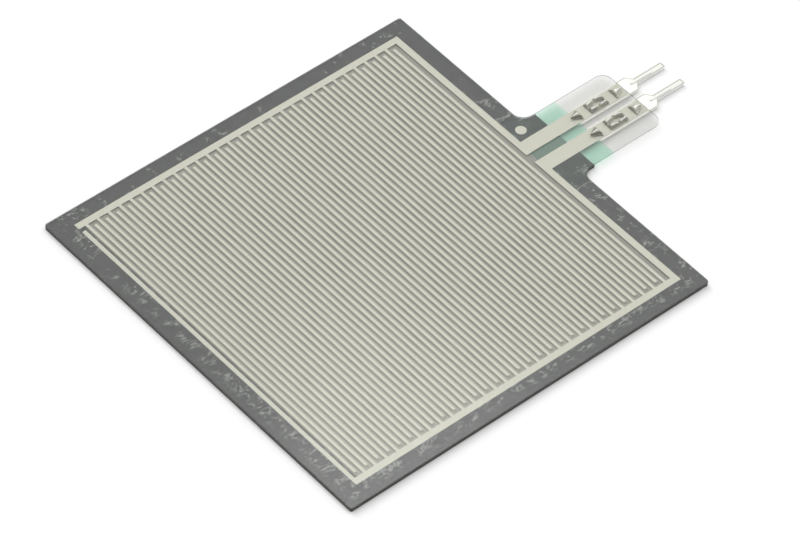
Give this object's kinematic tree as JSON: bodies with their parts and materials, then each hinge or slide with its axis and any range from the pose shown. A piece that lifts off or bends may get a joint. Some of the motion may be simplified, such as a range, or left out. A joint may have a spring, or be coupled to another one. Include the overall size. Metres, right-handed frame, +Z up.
{
  "type": "force sensor",
  "caption": "Thin square force sensing resistor: clear film with interdigitated silver combs over a carbon film, short tail with clinched solder pins.",
  "frame": {"origin": "centre of the square body, on the underside of the release liner", "axes": "+Y along the tail towards the solder pins, +Z up through the layers to the printed face, +X to the right seen from above"},
  "size_m": [0.04, 0.0545, 0.0007],
  "materials": {
    "clear_polyester": "gloss",
    "silver_ink": "satin",
    "green_dielectric_ink": "satin",
    "spacer_adhesive": "satin",
    "carbon_ink": "matte",
    "backing_polyester": "gloss",
    "mounting_adhesive": "satin",
    "siliconised_paper": "satin",
    "tinned_bronze": "satin"
  },
  "bodies": {
    "root": {"electrode_film": "clear_polyester", "left_comb": "silver_ink", "right_comb": "silver_ink", "registration_dot": "silver_ink", "tail_dielectric": "green_dielectric_ink", "spacer_adhesive": "spacer_adhesive", "resistive_ink": "carbon_ink", "backing_film": "backing_polyester", "mounting_adhesive": "mounting_adhesive", "release_liner": "siliconised_paper", "left_contact": "tinned_bronze", "right_contact": "tinned_bronze"}
  },
  "joints": []
}
